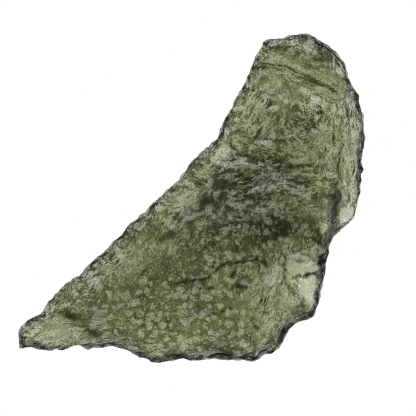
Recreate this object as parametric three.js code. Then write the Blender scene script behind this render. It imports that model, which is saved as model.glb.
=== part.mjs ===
// A flat shard of moldavite, a natural green glass that is etched by the soil it lay in. It is one
// solid piece. Sizes are in millimetres with +Z up: the broad face points up, and the origin is under
// the middle of the shard, on the surface that it lies on.
import * as THREE from "three";

// Driving sizes
const edgeRound = 0.4; // how far in from the outline the edge wall turns over
const domeRise = 1.3; // of the broad face, from its bevel to its middle
const domeReach = 8.5; // distance from the outline where the broad face levels out
const bellyDrop = 1.6; // of the underside below its edge wall, cut off flat where it meets the surface
const bellyReach = 8.0;
const rowsAlong = 76; // grid from the pointed end to the blunt end
const columnsOver = 40; // from the belly side over the broad face to the hollow side
const columnsUnder = 24;
const edgeCrowding = 0.6; // share of the columns' spacing that crowds towards the edges
const edgeBlend = 0.5; // square of the distance within which an edge place rules alone
const curveSteps = 1200; // along each of the two curves of the outline, for even spacing
const insetSteps = 450; // straight pieces of each curve from which the inset is measured
const outlineMiddle = [0.067, -0.129]; // of the outline's box below, moved to the origin at the end

// The outline seen from above, from the notch in the pointed end to the middle of the blunt end.
// The hollow side is the long, slightly hollow edge at the upper left.
const hollowSide = [
  [-17.05, -14.35], [-17.2, -13.6], [-17.05, -13.15], [-16.65, -12.65], [-16.1, -12.2],
  [-14.8, -11.35], [-14.1, -10.3], [-13.0, -9.15], [-11.0, -7.65], [-10.3, -6.85],
  [-8.4, -5.3], [-7.6, -4.3], [-6.9, -3.8], [-6.1, -2.75], [-4.5, -1.45], [-4.1, -0.95],
  [-3.4, -0.3], [-1.3, 1.75], [0.2, 3.7], [1.45, 4.9], [2.0, 5.3], [2.85, 6.35],
  [2.95, 6.85], [3.7, 8.25], [4.7, 10.05], [5.9, 12.65], [6.9, 14.75], [7.3, 15.55],
  [9.1, 15.85], [9.8, 16.15], [11.2, 16.2],
];
// The belly side is the lower edge, the broken corner at the lower right and the right edge.
const bellySide = [
  [-17.05, -14.35], [-17.1, -14.8], [-17.0, -15.15], [-16.1, -15.05], [-14.5, -15.2],
  [-12.55, -15.15], [-11.9, -14.9], [-11.2, -14.85], [-10.45, -15.1], [-9.1, -14.95],
  [-7.8, -15.0], [-6.1, -15.45], [-4.0, -16.35], [-2.8, -16.45], [-1.3, -16.15],
  [1.2, -16.3], [2.4, -16.1], [5.2, -16.25], [6.3, -16.3], [6.9, -16.15], [7.4, -15.7],
  [8.0, -15.7], [9.0, -14.6], [9.9, -13.05], [10.6, -12.55], [12.0, -11.95], [12.4, -11.5],
  [12.55, -10.85], [13.1, -9.05], [13.55, -6.25], [13.8, -4.85], [14.0, -4.25],
  [14.9, -3.2], [15.9, -2.4], [16.4, -1.65], [16.8, -0.25], [17.13, 2.45], [17.15, 4.45],
  [17.3, 5.35], [17.2, 7.95], [16.7, 9.75], [16.75, 10.25], [15.8, 11.75], [15.5, 12.75],
  [14.7, 14.05], [14.0, 14.75], [12.8, 15.7], [11.75, 16.2], [11.2, 16.2],
];

// Places along the edge: height of its middle line, half the height of its wall, and the width and
// rise of the bevel above the wall
const edgePlaces = [
  { x: -17.0, y: -14.3, middle: 2.2, wall: 0.8, width: 0.9, rise: 0.4 },
  { x: -13.0, y: -9.2, middle: 2.45, wall: 0.8, width: 1.0, rise: 0.7 },
  { x: -8.4, y: -5.3, middle: 2.7, wall: 0.85, width: 1.0, rise: 0.9 },
  { x: -4.1, y: -1.0, middle: 2.9, wall: 0.9, width: 0.9, rise: 0.8 },
  { x: 0.2, y: 3.7, middle: 3.0, wall: 0.9, width: 0.8, rise: 0.8 },
  { x: 2.9, y: 6.6, middle: 2.9, wall: 0.9, width: 0.9, rise: 0.8 },
  { x: 5.9, y: 12.6, middle: 3.0, wall: 0.8, width: 1.1, rise: 0.7 },
  { x: 7.6, y: 15.4, middle: 3.1, wall: 0.75, width: 0.9, rise: 0.8 },
  { x: 10.6, y: 16.2, middle: 3.0, wall: 0.7, width: 1.1, rise: 0.6 },
  { x: 13.8, y: 14.8, middle: 2.8, wall: 0.9, width: 1.9, rise: 1.2 },
  { x: 15.6, y: 12.4, middle: 2.7, wall: 0.9, width: 1.6, rise: 1.0 },
  { x: 16.8, y: 9.6, middle: 2.6, wall: 0.8, width: 1.5, rise: 0.7 },
  { x: 17.2, y: 5.0, middle: 2.5, wall: 0.75, width: 1.1, rise: 0.6 },
  { x: 16.9, y: 0.0, middle: 2.5, wall: 0.7, width: 1.0, rise: 0.6 },
  { x: 16.2, y: -2.0, middle: 2.6, wall: 0.55, width: 0.9, rise: 0.4 },
  { x: 13.9, y: -4.6, middle: 2.7, wall: 0.9, width: 0.9, rise: 1.0 },
  { x: 13.2, y: -8.5, middle: 2.5, wall: 0.75, width: 0.8, rise: 0.8 },
  { x: 12.3, y: -11.6, middle: 2.5, wall: 0.85, width: 1.7, rise: 1.2 },
  { x: 9.4, y: -13.9, middle: 2.4, wall: 0.85, width: 1.5, rise: 1.2 },
  { x: 6.8, y: -16.1, middle: 2.3, wall: 0.7, width: 0.9, rise: 0.8 },
  { x: 1.2, y: -16.3, middle: 2.4, wall: 0.7, width: 1.0, rise: 1.2 },
  { x: -3.4, y: -16.4, middle: 2.3, wall: 0.7, width: 1.5, rise: 0.9 },
  { x: -8.4, y: -15.0, middle: 2.2, wall: 0.75, width: 0.6, rise: 0.8 },
  { x: -12.6, y: -15.1, middle: 2.1, wall: 0.7, width: 0.9, rise: 0.4 },
];

// Ledges: each lowers what is inside its corners by drop, over a slope of the stated width
const ledges = [
  {
    name: "shelf along the right edge", drop: 1.15, slope: 1.0,
    corners: [
      [14.6, 12.2], [15.1, 10.5], [15.2, 8.6], [15.3, 6.6], [15.2, 5.2], [14.8, 4.3], [14.6, 3.1],
      [14.8, 2.1], [14.3, 0.7], [13.8, -1.0], [13.6, -3.0], [13.3, -4.7], [15.0, -7.0], [20, -3], [20, 12],
    ],
  },
  {
    name: "chip out of the right edge", drop: 1.2, slope: 1.5,
    corners: [
      [14.6, -4.4], [12.6, -4.7], [10.9, -5.1], [9.6, -5.8], [9.2, -7.0], [9.5, -8.3], [10.3, -9.3],
      [11.1, -10.4], [11.8, -11.1], [12.8, -11.2], [16, -11], [16, -4],
    ],
  },
  {
    name: "step down to the pointed end", drop: 0.6, slope: 1.4,
    corners: [
      [-14.9, -9.4], [-12.9, -11.1], [-11.9, -12.2], [-10.6, -13.1], [-9.1, -14.2], [-8.6, -16],
      [-20, -16], [-20, -9.4],
    ],
  },
];

// Rounded forms of the broad face, and under it of the belly: middle, radii, turn in degrees, height
const faceForms = [
  { name: "thick middle", x: 7.2, y: -1.8, long: 6.2, short: 3.6, turn: 35, height: 1.25 },
  { name: "swell towards the pointed end", x: -3.5, y: -9.5, long: 6.5, short: 3.4, turn: 25, height: 0.35 },
  { name: "swell at the blunt end", x: 10.4, y: 7.6, long: 3.2, short: 2.4, turn: 0, height: 0.45 },
  { name: "hollow across the blunt end", x: 12.2, y: 10.8, long: 3.6, short: 1.5, turn: -25, height: -0.65 },
  { name: "hollow under the top edge", x: 8.9, y: 13.6, long: 1.7, short: 1.0, turn: -10, height: -0.5 },
  { name: "dent in the hollow side", x: 0.4, y: 0.1, long: 3.2, short: 1.2, turn: 60, height: -0.6 },
  { name: "dent by the long edge", x: 2.7, y: 4.4, long: 1.9, short: 0.8, turn: 60, height: -0.55 },
  { name: "hollow by the broken corner", x: 8.4, y: -10.0, long: 3.0, short: 1.7, turn: -60, height: -0.7 },
  { name: "bowl in the chip", x: 11.2, y: -6.6, long: 1.6, short: 1.0, turn: 0, height: -0.6 },
  { name: "lower bowl in the chip", x: 11.9, y: -9.2, long: 1.5, short: 0.8, turn: -80, height: -0.5 },
  { name: "bite in the right edge", x: 15.7, y: -1.7, long: 0.9, short: 0.8, turn: 0, height: -0.45 },
  { name: "upper fold across the middle", x: 7.0, y: 4.9, long: 4.5, short: 0.6, turn: 12, height: 0.35 },
  { name: "middle fold", x: 6.0, y: 2.6, long: 4.2, short: 0.6, turn: -4, height: 0.3 },
  { name: "lower fold", x: 7.4, y: 0.6, long: 4.6, short: 0.6, turn: 8, height: 0.3 },
  { name: "groove across the lower face", x: 3.0, y: -6.2, long: 3.6, short: 0.5, turn: 12, height: -0.3 },
  { name: "lower groove", x: -0.3, y: -8.4, long: 2.6, short: 0.5, turn: 2, height: -0.3 },
  { name: "groove under the dark middle", x: 5.6, y: 4.3, long: 2.4, short: 0.5, turn: -18, height: -0.3 },
];
const bellyForms = [
  { name: "bulge that ends in the flat spot", x: 4.6, y: -4.4, long: 8.0, short: 5.4, turn: 55, height: -0.95 },
  { name: "scoop under the blunt end", x: 11.6, y: 10.2, long: 4.4, short: 2.6, turn: -20, height: 1.0 },
  { name: "scoop under the broken corner", x: 9.4, y: -9.6, long: 3.6, short: 2.2, turn: -60, height: 0.9 },
  { name: "scoop under the long edge", x: -1.2, y: -1.2, long: 4.2, short: 1.5, turn: 48, height: 0.6 },
  { name: "scoop under the pointed end", x: -12.6, y: -13.2, long: 3.4, short: 1.4, turn: 15, height: 0.3 },
];

// Low lumps of the etched skin
const lumpSpacing = 2.1;
const lumpHeight = 0.3;
const pitSpacing = 1.75;
const pitDepth = 0.28;
const pitRadius = 0.5; // as a share of the spacing
const pitStray = 0.7; // share of the spacing that a pit may stray from its place
const faceSeed = 3;
const bellySeed = 11;
const pitSeedStep = 5; // keeps the pits' seeds off the lumps'
const thinnest = 0.4; // least height of either face above or below the edge's middle line

function smoothStep(t) {
  const held = Math.min(Math.max(t, 0), 1);
  return held * held * (3 - 2 * held);
}

// A number from 0 to 1 that depends only on the whole numbers i and j and on a seed
function scatter(i, j, seed) {
  const wide = Math.sin(i * 127.1 + j * 311.7 + seed * 74.7) * 43758.5453;
  return wide - Math.floor(wide);
}

// Smooth noise from -1 to 1: scattered numbers on a unit grid, blended between its corners
function rolling(x, y, seed) {
  const i = Math.floor(x);
  const j = Math.floor(y);
  const a = smoothStep(x - i);
  const b = smoothStep(y - j);
  const low = scatter(i, j, seed) * (1 - a) + scatter(i + 1, j, seed) * a;
  const high = scatter(i, j + 1, seed) * (1 - a) + scatter(i + 1, j + 1, seed) * a;
  return 2 * (low * (1 - b) + high * b) - 1;
}

// Round pits side by side: 1 at a pit's middle, and 0 a pit's radius away from every middle
function pitted(x, y, seed) {
  let nearest = 1;
  for (let i = Math.floor(x) - 1; i <= Math.floor(x) + 1; i++)
    for (let j = Math.floor(y) - 1; j <= Math.floor(y) + 1; j++) {
      const px = i + 0.5 + pitStray * (scatter(i, j, seed) - 0.5);
      const py = j + 0.5 + pitStray * (scatter(i, j, seed + 1) - 0.5);
      nearest = Math.min(nearest, (x - px) ** 2 + (y - py) ** 2);
    }
  return Math.max(0, 1 - nearest / pitRadius ** 2);
}

function curveThrough(points) {
  const curve = new THREE.CatmullRomCurve3(
    points.map(([x, y]) => new THREE.Vector3(x, y, 0)), false, "centripetal",
  );
  curve.arcLengthDivisions = curveSteps;
  return curve;
}

// How far x, y is from a chain of points, as a straight distance
function distanceTo(chain, x, y) {
  let nearest = Infinity;
  for (let k = 1; k < chain.length; k++) {
    const [ax, ay] = chain[k - 1];
    const [bx, by] = chain[k];
    const along = ((x - ax) * (bx - ax) + (y - ay) * (by - ay)) / ((bx - ax) ** 2 + (by - ay) ** 2);
    const held = Math.min(Math.max(along, 0), 1);
    const dx = x - ax - held * (bx - ax);
    const dy = y - ay - held * (by - ay);
    nearest = Math.min(nearest, dx * dx + dy * dy);
  }
  return Math.sqrt(nearest);
}

// True inside closed corners, by counting the sides that a line to the right crosses
function isInside(corners, x, y) {
  let inside = false;
  corners.forEach(([ax, ay], k) => {
    const [bx, by] = corners[(k + 1) % corners.length];
    if (ay > y !== by > y && x < ax + ((y - ay) * (bx - ax)) / (by - ay)) inside = !inside;
  });
  return inside;
}

// The edge's middle height, wall and bevel at x, y, blended from the places near it
function edgeAt(x, y) {
  const blend = { middle: 0, wall: 0, width: 0, rise: 0 };
  let total = 0;
  for (const place of edgePlaces) {
    const weight = 1 / ((x - place.x) ** 2 + (y - place.y) ** 2 + edgeBlend) ** 2;
    total += weight;
    for (const key of Object.keys(blend)) blend[key] += weight * place[key];
  }
  for (const key of Object.keys(blend)) blend[key] /= total;
  return blend;
}

// A round-topped swell or hollow: its height times a bell curve over an ellipse
function formHeight(form, x, y) {
  const turn = (form.turn * Math.PI) / 180;
  const along = ((x - form.x) * Math.cos(turn) + (y - form.y) * Math.sin(turn)) / form.long;
  const across = ((y - form.y) * Math.cos(turn) - (x - form.x) * Math.sin(turn)) / form.short;
  return form.height * Math.exp(-(along * along + across * across));
}

function ledgeDrop(ledge, x, y) {
  if (!isInside(ledge.corners, x, y)) return 0;
  const closed = [...ledge.corners, ledge.corners[0]];
  return ledge.drop * smoothStep(distanceTo(closed, x, y) / ledge.slope);
}

// 0 on the outline, rising as a quarter circle to 1 where the edge has turned over
function edgeTurn(inset) {
  return Math.sqrt(1 - (1 - Math.min(inset / edgeRound, 1)) ** 2);
}

// 0 on the outline, levelling out to 1 at the stated reach
function levelling(inset, reach) {
  return 1 - (1 - Math.min(inset / reach, 1)) ** 2;
}

function skin(x, y, seed) {
  const lumps = lumpHeight * rolling(x / lumpSpacing, y / lumpSpacing, seed);
  return lumps - pitDepth * pitted(x / pitSpacing, y / pitSpacing, seed + pitSeedStep);
}

function faceHeight(x, y, inset) {
  const edge = edgeAt(x, y);
  const bevel = edge.rise * Math.min(inset / edge.width, 1);
  const settled = Math.min(inset / edge.width, 1); // the forms fade out on the edge
  const wall = edge.middle + edge.wall * edgeTurn(inset);
  let height = wall + bevel + domeRise * levelling(inset, domeReach);
  for (const form of faceForms) height += settled * formHeight(form, x, y);
  for (const ledge of ledges) height -= settled * ledgeDrop(ledge, x, y);
  return Math.max(height + settled * skin(x, y, faceSeed), edge.middle + thinnest * edgeTurn(inset));
}

function bellyHeight(x, y, inset) {
  const edge = edgeAt(x, y);
  const settled = Math.min(inset / edge.width, 1);
  const wall = edge.middle - edge.wall * edgeTurn(inset);
  let height = wall - bellyDrop * levelling(inset, bellyReach);
  for (const form of bellyForms) height += settled * formHeight(form, x, y);
  height = Math.min(height + settled * skin(x, y, bellySeed), edge.middle - thinnest * edgeTurn(inset));
  return Math.max(height, 0);
}

// How far across a section a column stands, from 0 to 1, crowded towards both edges
function acrossAt(share) {
  const crowded = (1 - Math.cos(Math.PI * share)) / 2;
  return share + (crowded - share) * edgeCrowding;
}

// Rings of points, each a section from the belly side over the broad face to the hollow side and back
// underneath, closed by a point at each end of the shard
function shardPoints() {
  const hollow = curveThrough(hollowSide);
  const belly = curveThrough(bellySide);
  const outline = [...belly.getSpacedPoints(insetSteps), ...hollow.getSpacedPoints(insetSteps).reverse()];
  const chain = outline.map((p) => [p.x, p.y]);
  const points = [];
  const addPoint = (x, y, heightAt) => {
    const z = heightAt ? heightAt(x, y, distanceTo(chain, x, y)) : edgeAt(x, y).middle;
    points.push(x, y, z);
  };
  for (let row = 1; row < rowsAlong; row++) {
    const start = belly.getPointAt(row / rowsAlong);
    const end = hollow.getPointAt(row / rowsAlong);
    const addColumn = (share, heightAt) => {
      const across = acrossAt(share);
      addPoint(start.x + (end.x - start.x) * across, start.y + (end.y - start.y) * across, heightAt);
    };
    addColumn(0);
    for (let k = 1; k < columnsOver; k++) addColumn(k / columnsOver, faceHeight);
    addColumn(1);
    for (let k = 1; k < columnsUnder; k++) addColumn(1 - k / columnsUnder, bellyHeight);
  }
  addPoint(...hollowSide[0]);
  addPoint(...hollowSide.at(-1));
  return points;
}

function shardGeometry() {
  const around = columnsOver + columnsUnder;
  const pointedEnd = (rowsAlong - 1) * around;
  const bluntEnd = pointedEnd + 1;
  const points = shardPoints();
  const triangles = [];
  const apart = (a, b) => Math.hypot(
    points[3 * a] - points[3 * b],
    points[3 * a + 1] - points[3 * b + 1],
    points[3 * a + 2] - points[3 * b + 2],
  );
  // Four corners in order, parted along their shorter diagonal
  const addQuad = (a, b, c, d) => {
    if (apart(a, c) < apart(b, d)) triangles.push(a, b, c, a, c, d);
    else triangles.push(a, b, d, b, c, d);
  };
  for (let k = 0; k < around; k++) {
    const next = (k + 1) % around;
    triangles.push(pointedEnd, k, next);
    for (let ring = 0; ring < pointedEnd - around; ring += around)
      addQuad(ring + k, ring + around + k, ring + around + next, ring + next);
    triangles.push(pointedEnd - around + k, bluntEnd, pointedEnd - around + next);
  }
  const geometry = new THREE.BufferGeometry();
  geometry.setAttribute("position", new THREE.Float32BufferAttribute(points, 3));
  geometry.setIndex(triangles);
  geometry.translate(-outlineMiddle[0], -outlineMiddle[1], 0);
  geometry.computeVertexNormals();
  return geometry;
}

const moldaviteGlass = new THREE.MeshStandardMaterial({
  color: 0x6d7345,
  roughness: 0.35,
  metalness: 0,
});

const shard = new THREE.Mesh(shardGeometry(), moldaviteGlass);
shard.name = "moldavite_shard";

const part = new THREE.Group();
part.add(shard);

export default part;
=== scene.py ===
import math

import bpy
import numpy as np
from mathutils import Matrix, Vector


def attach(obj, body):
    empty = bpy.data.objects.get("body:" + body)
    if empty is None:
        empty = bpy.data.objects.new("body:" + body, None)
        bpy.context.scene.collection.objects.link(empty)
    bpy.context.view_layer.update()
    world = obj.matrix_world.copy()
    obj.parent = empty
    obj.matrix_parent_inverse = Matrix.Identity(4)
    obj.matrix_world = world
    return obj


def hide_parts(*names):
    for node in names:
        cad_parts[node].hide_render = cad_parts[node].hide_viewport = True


# A flat shard of moldavite on a white table, seen from straight above.
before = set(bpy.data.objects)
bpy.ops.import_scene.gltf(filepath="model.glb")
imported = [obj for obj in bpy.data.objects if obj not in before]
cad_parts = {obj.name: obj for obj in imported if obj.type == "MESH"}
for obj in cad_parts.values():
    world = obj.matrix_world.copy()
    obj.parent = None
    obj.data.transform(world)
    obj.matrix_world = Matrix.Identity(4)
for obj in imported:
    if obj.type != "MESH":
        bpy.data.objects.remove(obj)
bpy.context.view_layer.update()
mm = 0.001  # shapes below are in millimetres, the scene is in metres
outlineMiddle = (0.067, -0.129)  # middle of the outline's box, which is the part's origin
print("frame loaded")


# sRGB hex to linear red, green, blue, and full cover
def hexColour(text):
    values = [int(text[k:k + 2], 16) / 255 for k in (1, 3, 5)]
    return [v / 12.92 if v <= 0.04045 else ((v + 0.055) / 1.055) ** 2.4 for v in values] + [1]


# 0 below 0, 1 above 1, and an even S between them
def smoothStep(t):
    held = np.clip(t, 0, 1)
    return held * held * (3 - 2 * held)


# A number from 0 to 1 that depends only on the whole numbers i, j and seed
def scatter(i, j, seed):
    wide = np.sin(i * 127.1 + j * 311.7 + seed * 74.7) * 43758.5453
    return wide - np.floor(wide)


# Smooth noise from -1 to 1: scattered numbers on a unit grid, blended between its corners
def rolling(x, y, seed):
    i, j = np.floor(x), np.floor(y)
    a, b = smoothStep(x - i), smoothStep(y - j)
    low = scatter(i, j, seed) * (1 - a) + scatter(i + 1, j, seed) * a
    high = scatter(i, j + 1, seed) * (1 - a) + scatter(i + 1, j + 1, seed) * a
    return 2 * (low * (1 - b) + high * b) - 1


# The same noise with its grid the stated length apart
def swell(x, y, length, seed):
    return rolling(x / length, y / length, seed)


# Several such noises added up, each with its own share, length and seed
def swells(x, y, noises):
    return sum(share * swell(x, y, length, seed) for share, length, seed in noises)


# The places x, y, moved to and fro by such noises, each with its own reach, length and seed
def wavered(x, y, *noises):
    for reach, length, seed in noises:
        x, y = x + reach * swell(x, y, length, seed), y + reach * swell(x, y, length, seed + 1)
    return x, y


# The unit cell of every place and the eight around it, one after the other
def cellsAround(x, y):
    for step in np.ndindex(3, 3):
        yield np.floor(x) + step[0] - 1, np.floor(y) + step[1] - 1


# Round pits: 1 at a pit's middle, and 0 a radius, as a share of the spacing, away from every middle
def pitted(x, y, spacing, seed, radius=0.5, stray=0.7):
    x, y = x / spacing, y / spacing
    nearest = np.ones_like(x)
    for i, j in cellsAround(x, y):
        px = i + 0.5 + stray * (scatter(i, j, seed) - 0.5)
        py = j + 0.5 + stray * (scatter(i, j, seed + 1) - 0.5)
        nearest = np.minimum(nearest, (x - px) ** 2 + (y - py) ** 2)
    return np.maximum(0, 1 - nearest / radius ** 2)


# Round blots, each with its own place, radius and strength: 0 outside them
def blotted(x, y, spacing, seed, smallest, largest, soft=0.12):
    x, y = x / spacing, y / spacing
    strongest = np.zeros_like(x)
    for i, j in cellsAround(x, y):
        away = np.hypot(x - i - scatter(i, j, seed), y - j - scatter(i, j, seed + 1))
        radius = smallest + (largest - smallest) * scatter(i, j, seed + 2)
        own = 0.4 + 0.6 * scatter(i, j, seed + 3)
        strongest = np.maximum(strongest, own * smoothStep((radius - away) / soft + 0.5))
    return strongest


# Points at shares of the length of a centripetal Catmull-Rom curve: each stretch is a cubic whose end
# slopes come from its neighbours, weighted by their distances
def alongCurve(points, share, samplesEach=48):
    p = np.array(points, float)
    p = np.vstack([2 * p[0] - p[1], p, 2 * p[-1] - p[-2]])
    p0, p1, p2, p3 = p[:-3], p[1:-2], p[2:-1], p[3:]
    pairs = ((p0, p1), (p1, p2), (p2, p3))
    d0, d1, d2 = (np.sqrt(np.linalg.norm(b - a, axis=1))[:, None] for a, b in pairs)
    startSlope = ((p1 - p0) / d0 - (p2 - p0) / (d0 + d1) + (p2 - p1) / d1) * d1
    endSlope = ((p2 - p1) / d1 - (p3 - p1) / (d1 + d2) + (p3 - p2) / d2) * d1
    t = (np.arange(samplesEach) / samplesEach)[None, :, None]
    square = 3 * (p2 - p1) - 2 * startSlope - endSlope
    cube = 2 * (p1 - p2) + startSlope + endSlope
    fine = p1[:, None] + startSlope[:, None] * t + square[:, None] * t ** 2 + cube[:, None] * t ** 3
    fine = np.vstack([fine.reshape(-1, 2), p2[-1:]])
    length = np.concatenate([[0], np.cumsum(np.linalg.norm(np.diff(fine, axis=0), axis=1))])
    wanted = share * length[-1]
    return np.stack([np.interp(wanted, length, fine[:, k]) for k in (0, 1)], axis=-1)


# Distance of every x, y from a chain of points, as the least over its straight pieces
def distanceTo(chain, x, y):
    nearest = np.full(x.shape, np.inf)
    for (ax, ay), (bx, by) in zip(chain[:-1], chain[1:]):
        square = max((bx - ax) ** 2 + (by - ay) ** 2, 1e-12)  # never 0, also where two points meet
        along = np.clip(((x - ax) * (bx - ax) + (y - ay) * (by - ay)) / square, 0, 1)
        nearest = np.minimum(nearest, (x - ax - along * (bx - ax)) ** 2 + (y - ay - along * (by - ay)) ** 2)
    return np.sqrt(nearest)


# How far inside closed corners x, y is, and under 0 where a line to the right crosses an even number of
# sides
def depthInside(corners, x, y):
    away = distanceTo(corners + corners[:1], x, y)
    inside = np.zeros(x.shape, bool)
    for (ax, ay), (bx, by) in zip(corners, corners[1:] + corners[:1]):
        if ay != by:
            inside ^= ((ay > y) != (by > y)) & (x < ax + (y - ay) * (bx - ax) / (by - ay))
    return np.where(inside, away, -away)


# Lengths in mm, unless a note says otherwise
shard = {
    "name": "moldavite_shard",
    "rows": 345,  # grid from the pointed end to the blunt end
    "columnsOver": 228,  # from the belly side over the broad face to the hollow side
    "columnsUnder": 60,  # and back under it
    "edgeCrowding": 0.8,  # 0 for even columns, 1 for columns crowded at the edge
    "chainPoints": (420, 300),  # of the belly and hollow sides
    "dentChainPoints": (200, 150),
    "edgeRound": 0.1,  # radius of the crisp upper side of the edge
    "edgeWorn": 0.75,  # and of its worn underside
    "wornFlat": 0.35,  # how far that side is a plain slant rather than round
    "edgeLift": 0.35,  # of the crisp line over the wall's middle, as a share of half the wall
    "middleSwing": 0.3,  # how far it swings up and down
    "swingLength": 2.6,
    "wallRough": 0.15,  # how far the wall is dented
    "wallGrain": 0.6,  # size of the dents
    "wallDepth": 0.5,  # how far in from the outline they reach
    "wallFall": 0.8,  # how far the looks slide down the wall
    "bevelShare": 0.6,  # of the rise; the wall takes the rest
    "domeRise": 1.15,  # of the broad face over its edge
    "domeReach": 8.5,  # how far in from the outline it levels out
    "bellyDrop": 1.5,  # of the underside
    "bellyReach": 8.0,
    "ragged": (0.06, 0.55, 95),  # reach, length and seed of the outline's small teeth
    "thinnest": 0.4,  # least glass over and under the edge's middle line
    "lumpSpacing": 2.1,
    "lumpHeight": 0.13,
    "pitSpacing": 1.75,
    "pitDepth": 0.07,
    "faceSeed": 3,
    "bellySeed": 11,
    "pitSeedStep": 5,
    "edgeBlend": 0.5,  # square mm, keeps an edge place's weight finite
    "tipLooks": (0.3, 0.3, 0, 0, 0),  # lightness, dullness and wrinkle coordinates at the two ends
}

# The outline from above, from the notch in the pointed end to the middle of the blunt end
hollowSide = [
    (-17.05, -14.35), (-17.2, -13.6), (-17.05, -13.15), (-16.65, -12.65), (-16.1, -12.2), (-14.8, -11.35),
    (-14.1, -10.3), (-13, -9.15), (-11, -7.65), (-10.3, -6.85), (-8.4, -5.3), (-7.6, -4.3),
    (-6.9, -3.8), (-6.1, -2.75), (-4.5, -1.45), (-4.1, -0.95), (-3.4, -0.3), (-1.3, 1.75), (0.2, 3.7),
    (1.45, 4.9), (2, 5.3), (2.85, 6.35), (2.95, 6.85), (3.7, 8.25), (4.7, 10.05), (5.9, 12.65),
    (6.9, 14.75), (7.3, 15.55), (9.1, 15.85), (9.8, 16.15), (11.2, 16.2),
]
bellySide = [
    (-17.05, -14.35), (-17.1, -14.8), (-17, -15.15), (-16.1, -15.05), (-14.5, -15.2), (-12.55, -15.15),
    (-11.9, -14.9), (-11.2, -14.85), (-10.45, -15.1), (-9.1, -14.95), (-7.8, -15), (-6.1, -15.45),
    (-4, -16.35), (-2.8, -16.45), (-1.3, -16.15), (1.2, -16.3), (2.4, -16.1), (5.2, -16.25), (6.3, -16.3),
    (6.9, -16.15), (7.4, -15.7), (8, -15.7), (9, -14.6), (9.9, -13.05), (10.6, -12.55), (12, -11.95),
    (12.4, -11.5), (12.55, -10.85), (13.1, -9.05), (13.55, -6.25), (13.8, -4.85), (14, -4.25),
    (14.9, -3.2), (15.9, -2.4), (16.4, -1.65), (16.8, -0.25), (17.13, 2.45), (17.15, 4.45), (17.3, 5.35),
    (17.2, 7.95), (16.7, 9.75), (16.75, 10.25), (15.8, 11.75), (15.5, 12.75), (14.7, 14.05), (14, 14.75),
    (12.8, 15.7), (11.75, 16.2), (11.2, 16.2),
]

# Places along the edge: x, y, height of its middle line, half its wall, bevel width and rise, and
# the width and strength of the dark strip of painted shade on its rim
edgePlaces = [
    (-17, -14.3, 2.1, 0.6, 0.7, 0.5, 0.3, 0.3), (-13, -9.2, 2.5, 1.1, 0.9, 0.7, 0.8, 0.6),
    (-8.4, -5.3, 2.8, 1.3, 1, 0.9, 1.1, 0.7), (-6.6, -3.3, 2.9, 1.3, 1.1, 0.9, 1.2, 0.9),
    (-4.1, -1, 3, 1.3, 0.9, 0.8, 0.9, 0.6), (0.2, 3.7, 3.1, 1.2, 0.8, 0.8, 0.6, 0.5),
    (2.9, 6.6, 3, 1.2, 0.9, 0.7, 0.6, 0.6), (5.9, 12.6, 3.1, 1, 0.9, 0.6, 0.6, 0.55),
    (7.6, 15.4, 3.1, 0.9, 0.9, 0.7, 1.3, 0.9), (10.6, 16.2, 3.1, 0.8, 1.1, 0.6, 0.8, 0.5),
    (12.5, 15.8, 3, 0.9, 1.5, 0.6, 1.2, 0.9), (14.3, 14.3, 2.9, 1.1, 1.9, 0.7, 1.9, 0.85),
    (15.6, 12.4, 2.8, 1.1, 1.4, 0.9, 1, 0.5), (16.8, 9.6, 2.7, 0.6, 1.2, 0.5, 0.4, 0.4),
    (17.2, 5, 2.6, 0.6, 0.9, 0.5, 0.25, 0.5), (16.9, 0, 2.6, 0.6, 0.9, 0.4, 0.3, 0.4),
    (16.2, -2, 2.6, 0.6, 0.7, 0.4, 0.3, 0.3), (15, -3.2, 2.7, 0.9, 0.9, 0.7, 0.5, 0.7),
    (13.9, -4.6, 2.8, 1.2, 0.9, 1, 0.9, 0.9), (13.2, -8.5, 2.6, 0.8, 0.9, 0.7, 0.9, 0.75),
    (12.3, -11.6, 2.6, 0.9, 1.6, 0.7, 1.8, 0.85), (9.4, -13.9, 2.5, 0.6, 1.1, 0.5, 0.9, 0.45),
    (6.8, -16.1, 2.4, 0.9, 0.9, 0.35, 0.8, 0.8), (1.2, -16.3, 2.5, 0.8, 0.9, 0.35, 0.9, 0.8),
    (-3.4, -16.4, 2.4, 0.65, 1.3, 0.5, 0.2, 0.25), (-8.4, -15, 2.2, 0.7, 0.8, 0.5, 0.2, 0.2),
    (-12.6, -15.1, 2.1, 0.55, 0.8, 0.4, 0.2, 0.2),
]

# Ledges: drop, width of the slope, and corners of what they lower
ledges = [
    # shelf along the right edge
    (1, 0.9, [
        (14.6, 12.2), (15.1, 10.5), (15.2, 8.6), (15.3, 6.6), (15.2, 5.2), (14.8, 4.3),
        (14.6, 3.1), (14.8, 2.1), (14.3, 0.7), (13.8, -1), (13.5, -2.6), (14.2, -2.9),
        (16, -3.1), (20, -3), (20, 12)]),
    # chip out of the right edge
    (1.05, 1.8, [
        (14.6, -4.4), (12.6, -4.7), (10.9, -5.1), (9.6, -5.8), (9.2, -7), (9.5, -8.3), (10.3, -9.3),
        (11.1, -10.4), (11.8, -11.1), (12.8, -11.2), (16, -11), (16, -4)]),
    # step down to the pointed end
    (0.35, 2.4, [
        (-14.9, -9.4), (-12.9, -11.1), (-11.9, -12.2), (-10.6, -13.1), (-9.1, -14.2), (-8.6, -16),
        (-20, -16), (-20, -9.4)]),
]

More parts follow.
